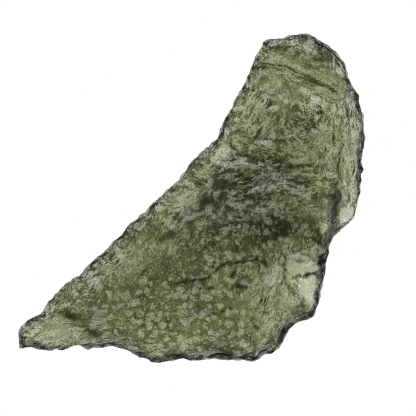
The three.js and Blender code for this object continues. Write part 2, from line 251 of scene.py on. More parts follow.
# Rounded forms: x, y, long radius, short radius, turn in degrees, height
faceForms = [
    (7.2, -1.8, 6.2, 3.6, 35, 1.15),  # thick middle
    (-3.5, -9.5, 6.5, 3.4, 25, 0.35),  # swell towards the pointed end
    (10.4, 7.6, 3.2, 2.4, 0, 0.45),  # swell at the blunt end
    (12.2, 10.8, 3.6, 1.5, -25, -0.45),  # hollow across the blunt end
    (8.9, 13.6, 1.7, 1, -10, -0.35),  # hollow under the top edge
    (0.4, 0.1, 3.2, 1.3, 60, -0.15),  # dent in the hollow side
    (2.7, 4.4, 1.9, 0.9, 60, -0.4),  # dent by the long edge
    (8.4, -10, 3, 1.7, -60, -0.7),  # hollow by the broken corner
    (11.2, -6.6, 1.6, 1.2, 0, -0.15),  # bowl in the chip
    (11.9, -9.2, 1.5, 0.9, -80, -0.15),  # lower bowl in the chip
    (15.7, -1.6, 1, 0.9, 0, -0.6),  # bite in the right edge
    (7, 4.9, 4.5, 0.6, 12, 0.26),  # upper fold across the middle
    (6, 2.6, 4.2, 0.6, -4, 0.2),  # middle fold
    (7.4, 0.6, 4.6, 0.6, 8, 0.2),  # lower fold
    (3, -6.2, 3.6, 0.6, 12, -0.1),  # groove across the lower face
    (-0.3, -8.4, 2.6, 0.6, 2, -0.1),  # lower groove
    (5.6, 4.3, 2.4, 0.6, -18, -0.2),  # groove under the dark middle
]
bellyForms = [
    (4.6, -4.4, 7.6, 5, 55, -0.9),  # bulge that ends in the flat spot
    (11.6, 10.2, 4.4, 2.6, -20, 1),  # scoop under the blunt end
    (9.4, -9.6, 3.6, 2.2, -60, 0.9),  # scoop under the broken corner
    (-1.2, -1.2, 4.2, 1.5, 48, 0.6),  # scoop under the long edge
    (-12.6, -13.2, 3.4, 1.4, 15, 0.3),  # scoop under the pointed end
    (15.7, -1.6, 2.2, 2, 0, 0.9),  # thin glass under the clear windows
    (10.9, -6.6, 3.2, 2.5, 0, 0.3),  # scoop under the chip
    (11.7, -9.2, 2.8, 2, -80, 0.5),  # scoop under its lower end
]
ledgeWaver = [(0.28, 0.9, 103), (0.12, 0.3, 105)]  # reach, length and seed of a ledge's ragged border


# Middle height, wall, bevel and dark strip at x, y, blended from the edge places near it
def edgeAt(x, y):
    total = np.zeros(x.shape)
    blend = np.zeros((6,) + x.shape)
    for px, py, *values in edgePlaces:
        weight = 1 / ((x - px) ** 2 + (y - py) ** 2 + shard["edgeBlend"]) ** 2
        total += weight
        blend += weight * np.array(values)[:, None]
    blend /= total
    blend[0] += shard["middleSwing"] * swell(x, y, shard["swingLength"], 109)
    blend[0] += shard["edgeLift"] * blend[1]
    return blend


# How high each form stands at x, y: its height times a bell curve over a turned ellipse
def formHeight(forms, x, y):
    height = np.zeros(x.shape)
    for fx, fy, longRadius, shortRadius, degrees, rise in forms:
        turn = math.radians(degrees)
        along = ((x - fx) * math.cos(turn) + (y - fy) * math.sin(turn)) / longRadius
        across = ((y - fy) * math.cos(turn) - (x - fx) * math.sin(turn)) / shortRadius
        height += rise * np.exp(-(along ** 2 + across ** 2))
    return height


# How far the ledges lower the face: from 0 on a ledge's border to its drop, as an S over its slope
def ledgeDrop(x, y):
    total = np.zeros(x.shape)
    x, y = wavered(x, y, *ledgeWaver)
    for drop, slope, corners in ledges:
        total += drop * smoothStep(depthInside(corners, x, y) / slope)
    return total


# 0 on the outline, rising as a quarter circle to 1 at the stated radius
def edgeTurn(inset, radius):
    return np.sqrt(1 - (1 - np.minimum(inset / radius, 1)) ** 2)


# 0 on the outline, levelling out to 1 at the stated reach, as a parabola
def levelling(inset, reach):
    return 1 - (1 - np.minimum(inset / reach, 1)) ** 2


# Low lumps less round pits
def skin(x, y, seed):
    lumps = shard["lumpHeight"] * swell(x, y, shard["lumpSpacing"], seed)
    pits = pitted(x, y, shard["pitSpacing"], seed + shard["pitSeedStep"])
    return lumps - shard["pitDepth"] * pits


# Creases of the broad face: width, depth, how dark the painted shade in them is, and the points they run
# through
creases = [
    (0.14, 0.22, 0.62, [(6.7, 13.3), (8.9, 13.1), (10.2, 12.6), (11.6, 12), (13.1, 11.2), (14.4, 10.4)]),
    (0.12, 0.16, 0.65, [(10, 12.2), (11.2, 11.8), (12.4, 11.3), (13.6, 10.7)]),
    (0.18, 0.14, 0.5, [(6.4, 12.9), (8, 12.9), (9.2, 12.6)]),
    (0.16, 0.15, 0.4, [(12, 10.2), (13, 9.8), (14, 9.3)]),
    (0.22, 0.2, 0.7, [(12.7, 9), (12.9, 8), (12.4, 7.2), (11.3, 6.7)]),
    (0.18, 0.15, 0.6, [(11.9, 8.1), (12, 7.4), (11.4, 7)]),
    (0.15, 0.14, 0.6, [(13.6, 7.6), (14.1, 6.6), (14.1, 5.4)]),
    (0.16, 0.15, 0.6, [(15.4, 6.4), (15, 4.8), (14.6, 3.2), (14.7, 2.2), (15.2, 1.2)]),
    (0.3, 0.15, 0.6, [(14.4, 1.4), (14.4, -0.6), (14.2, -2.4), (13.8, -4)]),
    (0.2, 0.12, 0.5, [(3.9, 5.5), (4.2, 3.8), (4.1, 2.4)]),
    (0.2, 0.18, 0.6, [(5.2, 4.1), (6.6, 3.7), (7.6, 3)]),
    (0.2, 0.16, 0.55, [(4.4, 2.2), (6.6, 1.7), (8.6, 1.9)]),
    (0.2, 0.16, 0.5, [(6, 6), (8.4, 5.6), (10.6, 5.8)]),
    (0.2, 0.16, 0.5, [(8.2, 3.6), (10.4, 3), (12.2, 3.1), (14, 2.6)]),
    (0.25, 0.2, 0.7, [(5.2, 0.3), (6.6, -0.4), (7.9, -0.3)]),
    (0.22, 0.18, 0.85, [(13.1, 0.4), (13.9, 0.2), (14.5, 0)]),
    (0.25, 0.22, 0.85, [(11.8, -4.4), (12.8, -4.5), (13.4, -4.2)]),
    (0.22, 0.25, 0.8, [(-2.4, -8.5), (-1.4, -8.5), (0.1, -8.2), (1.6, -7.9), (3.2, -6.6), (4.7, -6.4),
                       (6.6, -6.1)]),
    (0.2, 0.2, 0.7, [(6.4, -6), (7, -6.3), (7.5, -6.9)]),
    (0.24, 0.28, 0.85, [(4.1, -9.1), (4.5, -8.8), (5.2, -8.8), (5.9, -9)]),
    (0.18, 0.18, 0.6, [(4, -7.9), (4.5, -7.3)]),
    (0.18, 0.18, 0.6, [(0.6, -9.1), (2.2, -8.9)]),
    (0.2, 0.15, 0.5, [(1.4, -11.8), (2.8, -11.4), (4.1, -10.9)]),
    (0.25, 0.2, 0.6, [(6, -12), (6.3, -12.6), (6.9, -13.1)]),
    (0.25, 0.2, 0.75, [(9.4, -5.9), (9.2, -7.2), (9.5, -8.6), (10.4, -9.7), (11, -10.6)]),
    (0.2, 0.2, 0.7, [(10.4, -7.9), (11.6, -7.7), (12.4, -7.5), (12.9, -7.2)]),
    (0.3, 0.15, 0.5, [(-2.4, -1.5), (-1.6, -2), (-0.8, -2.6)]),
    (0.16, 0.12, 0.5, [(2.2, -15.5), (4, -15.7), (6, -15.5)]),
]

# Light ridges of the broad face, pale lines partly painted as highlights on their tops: width, how much
# lighter, and the points they run through
ridges = [
    (0.16, 0.9, [(12.2, 10), (13, 9.8), (13.9, 9.2)]),
    (0.14, 0.7, [(11.7, 9.7), (12.6, 9.4), (13.4, 8.8)]),
    (0.16, 0.5, [(5.3, 8.8), (6.1, 9.9), (7.7, 11.1), (9.2, 11.5)]),
    (0.18, 0.5, [(5.6, 7.6), (6.5, 8.9), (7.9, 10.1)]),
    (0.16, 0.5, [(6.7, 7), (7.5, 8.2), (8.7, 9.2)]),
    (0.14, 0.6, [(5.8, 12.4), (7.6, 12.5), (9.6, 12), (11.4, 11.1)]),
    (0.12, 0.6, [(8, 13.8), (9.4, 13.6), (10.8, 12.9), (12.4, 12.2)]),
    # painted glints on the facets of the top edge
    (0.2, 1.2, [(9.9, 15.2), (10.4, 15.4), (10.8, 15.1)]),
    (0.18, 0.7, [(11.7, 15.4), (12.2, 15.1), (12.4, 14.7)]),
    (0.14, 0.9, [(-10.8, -9.5), (-10, -8.9), (-9.1, -8.1)]),
    (0.14, 0.7, [(-7.9, -6.7), (-6.8, -5.5), (-6, -4.6)]),
    (0.14, 0.7, [(-3.1, -1.6), (-1.8, -0.2), (-0.9, 0.9)]),
    (0.16, 0.8, [(13.1, -0.8), (13.4, -2.8), (13, -4.5)]),
    (0.12, 0.8, [(12.6, -1.6), (12.8, -3)]),
    (0.12, 0.8, [(2.2, -15.5), (3.6, -15.7), (5.2, -15.7)]),
    (0.14, 0.6, [(9.6, -5.4), (10.8, -4.9), (12.2, -4.9)]),
    (0.14, 0.5, [(4.4, 4.9), (6.8, 5), (8.8, 4.3), (10.8, 4.2)]),
    (0.14, 0.5, [(7, 2.4), (9.6, 2.4), (12, 2.2)]),
    (0.14, 0.5, [(5, 3.1), (6.3, 2.9), (7.7, 2.3)]),
]

# Shades of the broad face: x, y, long radius, short radius, turn in degrees, and how much lighter (over 0)
# or darker it is there
shades = [
    (5.9, 0.8, 5.5, 3.2, 10, -0.5),  # dark middle
    (8.9, -3, 3, 1.9, 15, -0.8),  # its darkest part, right of the middle
    (5.6, -3.2, 3, 1.2, 5, -0.25), (12.4, -4, 1.6, 0.7, 20, -0.5),
    (10.4, 14, 0.9, 0.5, -15, -0.6),  # dark smooth patch under the top edge
    # painted shade on the steep flank at the top right
    (13.2, 14, 1.9, 0.6, -45, -0.5),  # dark flank at the top right
    (9.8, 11.6, 5, 2.6, -15, 0.6),  # pale zone at the blunt end
    (12.8, 10.2, 2, 1.1, -25, 0.35), (12.9, 12.5, 1.8, 0.6, -20, 0.25), (7.4, 14.4, 0.8, 0.8, 0, 0.5),
    (6.7, 9.2, 2, 1, 65, 0.2),
    (11.2, 7.6, 0.9, 0.8, 0, -0.25),  # dark swirl
    (10.5, 10, 2, 0.5, -10, -0.4),
    (13.2, 5.2, 2.8, 1.3, 90, 0.45),  # pale band inside the right shelf
    (15.9, 4.4, 4, 0.9, 90, 0.6),  # the shelf itself
    (16.4, 8.5, 0.6, 0.4, 80, -0.5),  # dark end of the shelf
    # painted shade, adding to the dark of the shelf's step
    (14.15, -1.2, 2.8, 0.6, 95, -0.4),  # dark band beside it
    (13.2, -2.6, 2, 0.35, 80, 0.35),  # and a pale line inside that
    (2.7, 4.8, 0.9, 0.9, 0, 0.55),  # pale flank inside the long edge
    (1.8, 2.4, 0.9, 0.6, 60, 0.45), (-1.1, -0.8, 2.2, 1.2, 50, 0.9), (-5.4, -3.8, 0.9, 0.7, 45, 0.5),
    (-6.1, -5.6, 1.6, 1.3, 30, 0.6), (-8.6, -7.6, 1.6, 1, 40, 0.3), (-3.6, -5.2, 1.8, 0.8, 20, 0.35),
    (10.4, -2.2, 1.1, 0.8, 20, 0.2),
    (8.2, -9.9, 3.4, 2, 80, 0.8),  # pale green zone by the chip
    (12.4, -7.6, 2.8, 0.8, 85, -0.45),  # dark surround of the chip's clear windows
    (10.2, -4.9, 1.6, 0.6, 10, -0.2),  # above them
    (9.9, -11.5, 1.6, 0.6, 20, -0.4),  # below them
    (10.3, -8.9, 1.4, 0.35, -65, -0.6),  # and left of the lower one
    # painted shade on the rim at the bottom corner
    (7.4, -15.2, 0.9, 0.6, 45, -0.6),  # dark bottom corner
    (-8.8, -8.9, 2.4, 0.7, -33, -0.35),  # deep green between the pale clouds and the tip
    (-13, -13.4, 2.4, 1.2, 5, 1.15),  # pale pointed end
    (-12, -11.8, 0.9, 0.4, -40, -1.6),  # dark pits inside it
    (-9.8, -13.4, 1.2, 0.4, -35, -1.3),
    (-6.1, -6.8, 1.4, 1.4, 0, 0.9),  # pale clouds in the green
    (-4.1, -6.4, 1.4, 0.9, 0, 0.8), (-2.8, -4.8, 0.8, 1, 0, 0.4), (4, -7, 1.5, 0.8, 10, 0.6),
    (9.2, -10.8, 3.2, 0.9, 5, 0.9),  # pale skin round the chip and the shelf
    (12.2, -10.4, 0.8, 0.7, 0, 0.5), (12.9, 4.6, 0.9, 1.3, 0, 0.7), (14.1, 2.7, 0.8, 1.8, 0, 0.45),
    (9.8, -4.7, 1.6, 0.7, -10, 0.9),
    (-13.4, -14.3, 2, 0.5, 0, 0.45),  # pale bottom edge of the pointed end
    (4.9, 1.6, 0.8, 1.2, 0, 0.35),  # small pale patches all over
    (2.9, 5.4, 1, 0.8, 0, 0.4), (7.4, 14, 1.1, 0.9, 0, 1.1), (13.4, 9.6, 1.2, 2.4, 0, 0.3),
    (13.6, 3.6, 1.4, 3.4, 0, 0.3), (11.9, 7.6, 0.6, 0.6, 0, 0.5), (8.6, -8.8, 2, 1.6, 0, 0.3),
    (12, -10.8, 0.8, 0.8, 0, 0.4), (2.9, -8.2, 1.4, 0.9, 0, 0.35), (0.5, -1.8, 1.3, 0.8, 0, 0.7),
    (15.2, 12.2, 0.7, 2.4, 30, 0.4),
    (1.8, -0.5, 1.8, 0.8, 10, -0.6),  # clear dark patches in and beside the dark middle
    (2.7, -2.7, 1, 0.8, 0, -0.6), (9.4, 2.8, 1.6, 0.5, 15, -0.45), (7.1, 1.5, 1, 0.8, 0, -0.25),
    (8.9, -2.9, 0.7, 1.3, 0, -0.25), (-9.2, -8.5, 1.6, 0.6, 41, -0.35),
    (10.2, -1, 1.6, 0.7, 0, 0.7),  # small pale patches in the right half and along the bottom
    (11.8, 5, 1.2, 1.4, 0, 0.4), (7.4, -10.7, 1, 1, 0, 0.6), (2.4, -9.2, 1.2, 0.8, 0, 0.4),
    (-2.1, -9.2, 0.9, 0.8, 0, 0.4), (-6.6, -11, 1.2, 1, 0, 0.3), (6.4, -13, 0.9, 1, 0, 0.4),
    (11.8, 11.9, 1.6, 0.8, -20, 0.4),
    (2.6, -15, 2.4, 0.7, 0, -0.45),  # small dark patches all over
    (4.6, -5.2, 1.4, 0.6, 0, -0.4), (1.6, -11.2, 1, 0.8, 0, -0.3), (4.4, -13.2, 0.9, 1.6, 0, -0.35),
    (15.7, 9.1, 0.6, 1.4, 0, -0.6), (10.4, 6.9, 0.7, 1, 0, -0.4), (2.1, -6.8, 1.2, 0.6, 15, -0.3),
    (8, -4, 1.2, 0.6, 0, -0.4), (6, -11.4, 0.8, 0.8, 0, -0.3), (-9, -12, 0.8, 0.9, 0, -0.4),
]

# Clear windows, where a flake broke off: how much lighter than 1, softness of the border, and corners
windows = [
    # at the right edge
    (5.5, 0.25, [(14.9, -1.55), (15.3, -1), (16, -1), (16.6, -1.35), (16.4, -1.85), (15.8, -2.35),
                 (15.2, -2.5), (14.9, -2.15)]),
    # the chip's upper and lower one
    (7, 0.3, [(9.6, -5.9), (10.2, -5.7), (10.9, -5.6), (11.5, -6), (12.2, -6.8), (12.6, -7.2),
                (11.9, -7.4), (10.9, -7.4), (10, -7.7), (9.6, -7.3)]),
    (6, 0.25, [(10.6, -8), (11.4, -8.2), (12.4, -7.8), (12.5, -8.8), (12.2, -10.4), (11.9, -11.1),
                 (11.2, -10), (10.7, -8.9)]),
    # a faint one on the shelf
    (0.9, 0.3, [(16.3, 8), (17, 7.7), (17.1, 6.2), (16.3, 6), (16, 6.8)]),
]
windowWaver = [(0.25, 0.7, 101), (0.1, 0.25, 107)]  # reach, length and seed of a window's ragged border

# Where the flecks are thicker (over 0) or thinner: x, y, long radius, short radius, turn, amount
frosts = [
    (-1, -10.8, 7.5, 3, 12, 0.2),  # the lower face
    (5.5, -1.6, 6, 3.2, 10, 0.4),  # the dark middle
    (-2.4, -3.8, 2.2, 0.8, 5, -0.55),  # clear green patches by the long edge
    (-3, -6.6, 3, 0.8, 10, -0.55),
    (8.3, -9.6, 3.2, 1.5, 80, -0.45),  # left of the chip
    (10, 12, 5, 2.4, -15, -0.5),  # the blunt end
    (12.6, 5.6, 2.6, 1.2, 85, -0.3),
    (11.2, -7.6, 1.8, 2.4, 0, -0.6),  # the chip
    (14.2, -1.6, 0.8, 2.8, 0, -0.6), (11, -2, 1.4, 0.9, 15, -0.45),
    (-13, -13.2, 2.2, 1.2, 10, -0.3),  # the pointed end
    (-12, -11.8, 0.9, 0.5, -40, -0.6),  # its dark pits
    (-9, -12, 0.8, 0.9, 0, -0.5), (-9.8, -13.4, 1.2, 0.5, -35, -0.6),
    (16.2, 4, 4.6, 0.9, 92, 0.3),  # the shelf
    (12.9, -7.6, 2.8, 0.6, 85, 0.9),  # flecked skin right and left of the chip
    (9.9, -8.3, 2.6, 0.5, 115, 0.7),
    (2, -0.4, 1.6, 0.7, 20, -0.6),  # clear gaps in the dark middle
    (2.4, -2.9, 1.2, 0.9, 0, -0.6), (8.9, -2.9, 0.8, 1.4, 0, -0.5), (9.6, 2.7, 1.6, 0.6, 10, -0.6),
    (7.1, 1.4, 0.9, 0.7, 0, -0.5), (4.2, -5, 1.6, 0.5, 0, -0.5), (11.6, -1.9, 0.9, 0.8, 0, -0.3),
]

# Stretches of wrinkles: x, y, long radius, short radius and turn, the way the wrinkles run (degrees, or
# the point they curl around), their length and spacing
wrinkles = [
    (6.5, 1.2, 7, 3.2, 8, 4, 1.1, 0.45), (9.8, 12.6, 5.6, 1.9, -14, -14, 1.7, 0.42),
    (7.4, 9.4, 3.2, 1.5, 62, 50, 1.5, 0.5), (11.4, 7.9, 2.8, 2.6, 0, (11.5, 7.9), 1, 0.45),
    (16, 3.5, 6, 1.2, 92, 88, 1.3, 0.36), (12.9, 4.4, 2.4, 1.3, 85, 78, 1, 0.4),
    (0, -1.6, 5, 1.6, 47, 40, 1, 0.42), (-13, -13, 3.4, 1.6, 15, 12, 1.1, 0.4),
    (8, -9.6, 3, 1.4, 80, 62, 1.1, 0.42), (-4.6, -15.3, 6, 0.8, -6, -6, 1.6, 0.3),
    (-9.6, -8.2, 4, 0.8, 41, 41, 1.2, 0.34), (11.4, -7.4, 2.6, 1.6, -70, (14.2, -4.6), 1, 0.42),
]

# Fine relief: lengths in mm, unless a note says otherwise
relief = {
    "lumpSpacing": 1.1,
    "lumpHeight": 0.05,
    "blotSpacing": 0.8,
    "blotRadii": (0.12, 0.46),  # smallest and largest, as shares of the spacing
    "blotHeight": 0.02,
    "speckSpacing": 0.36,
    "speckRadii": (0.05, 0.4, 0.2),  # the same, and of the soft border
    "rimGlintRadii": (0.1, 0.5, 0.25),  # pale specks painted as glints in the painted shade on the rim
    "wobble": (0.14, 0.3),  # what pulls them out of round
    "pitSpacing": 0.36,
    "pitDepth": 0.075,
    "wrinkleHeight": 0.07,
    "hairWidth": 0.3,  # as a share of the noise that draws the hairlines
    "hairDepth": 0.05,
    "rimPitSpacing": 0.32,
    "rimPitRadius": 0.6,  # as a share of the spacing
    "rimPitDepth": 0.05,
    "rimPitReach": 1.1,  # how far in from the outline
    "faceFade": 0.25,  # where the relief is complete
    "bellyFade": 1.5,  # and that of the underside
}

# How wrinkles are drawn
wrinkling = {
    "least": 0.3,  # a stretch starts where its bell curve is over this
    "bend": 0.35,  # mm, how far a wrinkle wanders to either side
    "bendLength": 1.3,
    "curl": 3,  # length to a radian, where they curl around a point
    # noises of wrinkles, hairlines, their gaps and streaks: multiples of length and spacing, seed
    "noises": [(1, 1, 20), (1.3, 1.2, 30), (1, 2.5, 50), (1.6, 2, 40)],
    "gapMean": 0.6,
    "gapSwing": 1.4,
    "openSwing": 3.0,  # how far the fine lines wander outside the stretches
    "openLength": 0.75,
}

# How the dull flecks are drawn
flecks = {
    "mean": 0.8,  # how thick they are where no entry of frosts reaches
    "most": 1.1,
    "topSteep": 3.0,  # dull where this times the height is over topStart
    "topStart": 1.4,
    "topLeast": 0.35,  # share of its dullness that no gap takes away
    "topGap": (0.8, 0.5),  # mm, size of the gaps along x and y
    "topSwing": 1.4,
    "blots": 0.85,  # strength of blots and dull wrinkles
    "specks": 0.5,  # and of the specks between them
    "hairClear": 0.7,  # how clear a hairline is
    "patchMean": 0.55,  # of the patches that show fine lines
    "patchSwing": 0.8,
    "patchLength": 1.5,
}

# How creases and ridges are drawn
marks = {
    "points": 16,  # in the chain that a line is drawn as
    "taper": 3,  # how soon a line has its full width
    "endWidth": 0.35,  # what it starts with, as a share
    "waver": (0.09, 0.4, 99),  # reach, length and seed
    "creaseShown": 1.2,  # the lower, the more gaps
    "ridgeShown": 1.0,
    "gapSwing": 0.9,
    "gapLength": 0.7,
    "creaseDepth": 0.2,  # share of the stated depth, because steeper walls glint
    "creasePaintedShade": 1.5,  # multiple of the stated darkness of the painted shade, up to black
}


# 1 along a line through the points, falling off as a bell curve and thinning out at its ends
def lineMark(points, width, x, y):
    route = alongCurve(points, np.linspace(0, 1, marks["points"]), samplesEach=12)
    mark = np.zeros(x.shape)
    for k in range(len(route) - 1):
        taper = min(1, marks["taper"] * min(k + 1, len(route) - 1 - k) / len(route) + marks["endWidth"])
        away = distanceTo(route[k:k + 2], x, y)
        mark = np.maximum(mark, np.exp(-(away / (width * taper)) ** 2))
    return mark


# Depth of the creases and their painted shade: the strongest line there, with gaps where a noise is low
def creaseMarks(x, y):
    x, y = wavered(x, y, marks["waver"])
    shown = smoothStep(marks["creaseShown"] + marks["gapSwing"] * swell(x, y, marks["gapLength"], 97))
    depth, paintedShade = np.zeros(x.shape), np.zeros(x.shape)
    for width, deep, strength, points in creases:
        mark = lineMark(points, width, x, y) * shown
        depth = np.maximum(depth, marks["creaseDepth"] * deep * mark)
        paintedShade = np.maximum(paintedShade, min(1, marks["creasePaintedShade"] * strength) * mark)
    return depth, paintedShade


# How much the ridges lighten the skin, partly as painted highlights, in the same way
def ridgeMarks(x, y):
    shown = smoothStep(marks["ridgeShown"] + marks["gapSwing"] * swell(x, y, marks["gapLength"], 98))
    light = np.zeros(x.shape)
    for width, strength, points in ridges:
        light = np.maximum(light, strength * lineMark(points, width, x, y))
    return light * shown


# How far each place is in a stretch of wrinkles, how high a wrinkle and how strong a hairline is there,
# from 0 to 1, a slow streaking, from -1 to 1, and the coordinates along and across the wrinkles
def wrinkledAt(x, y, seed):
    inStretch, high, hair, streak = (np.zeros(x.shape) for _ in range(4))
    flowAlong = 0.9 * x + 0.5 * y
    flowAcross = wrinkling["openSwing"] * swell(x, y, wrinkling["openLength"], seed + 70)
    flowAcross += 0.7 * (y - 0.4 * x)
    for k, (wx, wy, longRadius, shortRadius, degrees, way, length, spacing) in enumerate(wrinkles):
        mask = formHeight([(wx, wy, longRadius, shortRadius, degrees, 1.0)], x, y) ** 0.5
        if isinstance(way, tuple):
            across = np.hypot(x - way[0], y - way[1])
            along = wrinkling["curl"] * np.arctan2(y - way[1], x - way[0])
        else:
            turn = math.radians(way)
            along = x * math.cos(turn) + y * math.sin(turn)
            across = y * math.cos(turn) - x * math.sin(turn)
        bent = across + wrinkling["bend"] * swell(x, y, wrinkling["bendLength"], seed + k)
        ridge, line, gap, slow = (rolling(along / (a * length), bent / (b * spacing), seed + step + k)
                                  for a, b, step in wrinkling["noises"])
        broken = smoothStep(wrinkling["gapMean"] + wrinkling["gapSwing"] * gap)
        chosen = mask > np.maximum(inStretch, wrinkling["least"])
        high = np.where(chosen, 1 - np.abs(ridge), high)
        hair = np.where(chosen, broken * np.exp(-(line / relief["hairWidth"]) ** 2), hair)
        streak = np.where(chosen, slow, streak)
        flowAlong = np.where(chosen, along / length, flowAlong)
        flowAcross = np.where(chosen, bent / spacing, flowAcross)
        inStretch = np.maximum(inStretch, mask)
    return inStretch, high, hair * inStretch, streak * inStretch, flowAlong, flowAcross


# Where the skin is etched dull, from 0 to 1: round blots with specks between them, and the tops of wrinkles;
# then the heights, hairlines, streaking and coordinates of the wrinkles, and how much their lines show
def frostAt(x, y, seed):
    amount = np.clip(flecks["mean"] + formHeight(frosts, x, y), 0, flecks["most"])
    bx, by = wavered(x, y, (*relief["wobble"], seed + 1))
    blots = blotted(bx, by, relief["blotSpacing"], seed + 3, *relief["blotRadii"])
    specks = blotted(bx, by, relief["speckSpacing"], seed + 9, *relief["speckRadii"])
    inStretch, high, hair, streak, *flow = wrinkledAt(bx, by, seed + 13)
    gapX, gapY = flecks["topGap"]
    shown = smoothStep(0.5 + flecks["topSwing"] * rolling(x / gapX, y / gapY, seed + 5))
    drawn = smoothStep(flecks["topSteep"] * high - flecks["topStart"])
    drawn *= flecks["topLeast"] + (1 - flecks["topLeast"]) * shown
    dull = (1 - inStretch) * blots + inStretch * drawn
    dull = smoothStep(amount * (flecks["blots"] * dull + flecks["specks"] * specks * (1 - 0.5 * dull)))
    patch = swell(x, y, flecks["patchLength"], seed + 75)
    patchy = smoothStep(flecks["patchMean"] + flecks["patchSwing"] * patch)
    dull *= 1 - flecks["hairClear"] * hair
    return dull, inStretch * high, hair, streak, *flow, (0.5 + 0.5 * inStretch) * patchy


# Fine relief: low lumps all over, pits and raised wrinkles where the skin is dull, and deep pits on the rim,
# all fading out towards the outline over the stated reach
def fineRelief(x, y, inset, seed, reach):
    fade = np.minimum(inset / reach, 1)
    dull, raised, hair = frostAt(x, y, seed)[:3]
    lumps = relief["lumpHeight"] * swell(x, y, relief["lumpSpacing"], seed + 31)
    pits = relief["pitDepth"] * pitted(x, y, relief["pitSpacing"], seed + 21)
    raised = relief["wrinkleHeight"] * raised + relief["blotHeight"] * dull - relief["hairDepth"] * hair
    onRim = np.exp(-(inset / relief["rimPitReach"]) ** 2)
    rimPits = pitted(x, y, relief["rimPitSpacing"], seed + 81, relief["rimPitRadius"])
    return fade * (lumps - dull * pits + raised - relief["rimPitDepth"] * onRim * rimPits)


# The broad face: wall, bevel and dome over the edge's middle line, with its forms, ledges and skin
def faceHeight(x, y, inset):
    middle, wall, width, rise = edgeAt(x, y)[:4]
    settled = np.minimum(inset / width, 1)
    turned = edgeTurn(inset, shard["edgeRound"])
    wall *= 1 - shard["edgeLift"]
    bevel = shard["bevelShare"] * rise
    height = middle + (wall + rise - bevel) * turned + bevel * settled
    height += shard["domeRise"] * levelling(inset, shard["domeReach"])
    height += settled * (formHeight(faceForms, x, y) - ledgeDrop(x, y))
    height += turned * skin(x, y, shard["faceSeed"])
    height = np.maximum(height, middle + shard["thinnest"] * turned)
    height += fineRelief(x, y, inset, shard["faceSeed"], relief["faceFade"])
    return height - settled * creaseMarks(x, y)[0]


# The underside: wall and bulge under the edge's middle line, cut off flat at the table
def bellyHeight(x, y, inset):
    middle, wall, width = edgeAt(x, y)[:3]
    settled = np.minimum(inset / width, 1)
    slanted = shard["wornFlat"] * np.minimum(inset / shard["edgeWorn"], 1)
    turned = slanted + (1 - shard["wornFlat"]) * edgeTurn(inset, shard["edgeWorn"])
    wall *= 1 + shard["edgeLift"]
    height = middle - wall * turned - shard["bellyDrop"] * levelling(inset, shard["bellyReach"])
    height += settled * (formHeight(bellyForms, x, y) + skin(x, y, shard["bellySeed"]))
    height = np.minimum(height, middle - shard["thinnest"] * turned)
    return np.maximum(height + fineRelief(x, y, inset, shard["bellySeed"], relief["bellyFade"]), 0)


# How much lighter the clear windows make the skin, with a border as an S over its softness
def windowLight(x, y):
    light = np.zeros(x.shape)
    x, y = wavered(x, y, *windowWaver)
    for amount, soft, corners in windows:
        light = np.maximum(light, amount * smoothStep(depthInside(corners, x, y) / soft + 0.5))
    return light


# Lightness and dullness of the skin; the strip entries set the painted shade on the rim
tones = {
    "darkest": 0.1,  # floor under the sum of the shades
    "streaks": 0.35,  # swing of the slow streaks
    "clouds": [(0.24, 1.7, 93), (0.16, 0.8, 94)],  # share, length in mm and seed
    "hairDark": 0.55,
    "stripMean": 1.05,  # width of the painted shade on the rim, as a multiple of its place's
    "stripNoises": [(0.35, 0.9, 91), (0.3, 0.35, 90)],
    "stripStart": 0.6,  # share of its width where it starts to fade
    "stripFade": 0.8,  # and over which it fades
    # how dark the painted shade on the rim makes the skin
    "rimPaintedShade": 0.8,
    "stripGlints": 0.9,  # how light the specks in it are, painted glints off its pits
    "stripSmooth": 0.6,  # how much less dull it is
    "windowSmooth": 0.8,  # and a clear window
    "windowPlain": 0.3,  # how much less the fine lines show in a window
    "belly": 3.0,  # lightness of the underside
    "bellyClouds": [(0.6, 1.4, 92)],
    # the painted shade on the underside's rim
    "bellyStripStart": 0.3,
    "bellyRimPaintedShade": 0.85,
}


# The face's looks: lightness, as the product of shades, clouds, creases and ridges with their painted shade
# and highlights, and the painted shade on the rim, plus the windows; dullness; coordinates and strength of
# the lines along the wrinkles. The places slide down the wall, so that nothing runs straight down it; z
# isn't needed
def faceLooks(x, y, z, inset):
    stripWidth, stripStrength = edgeAt(x, y)[4:]
    fall = shard["wallFall"] * (1 - edgeTurn(inset, shard["edgeRound"]))
    x, y = x + fall, y - fall
    # width and strength of the painted shade on the rim, with a ragged inner border
    ragged = stripWidth * (tones["stripMean"] + swells(x, y, tones["stripNoises"]))
    rimShade = stripStrength * (1 - smoothStep((inset / ragged - tones["stripStart"]) / tones["stripFade"]))
    dull, _, hair, streak, along, across, lined = frostAt(x, y, shard["faceSeed"])
    tone = np.maximum(1 + formHeight(shades, x, y), tones["darkest"])
    tone *= 1 + tones["streaks"] * streak + swells(x, y, tones["clouds"])
    # darker hairlines; painted shade in the creases; pale lines and painted highlights on the ridges
    tone *= (1 - tones["hairDark"] * hair) * (1 - creaseMarks(x, y)[1]) * (1 + ridgeMarks(x, y))
    # pale specks painted as glints off the rim's pits
    paintedRimGlints = blotted(x, y, relief["speckSpacing"], 57, *relief["rimGlintRadii"])
    # painted shade on the rim, darkest at the outline
    tone *= 1 - rimShade * (tones["rimPaintedShade"] - tones["stripGlints"] * paintedRimGlints)
    light = windowLight(x, y)
    clear = np.minimum(light, 1)
    dull *= (1 - tones["stripSmooth"] * rimShade) * (1 - tones["windowSmooth"] * clear)
    return tone + light, dull, along, across, lined * (1 - tones["windowPlain"] * clear)


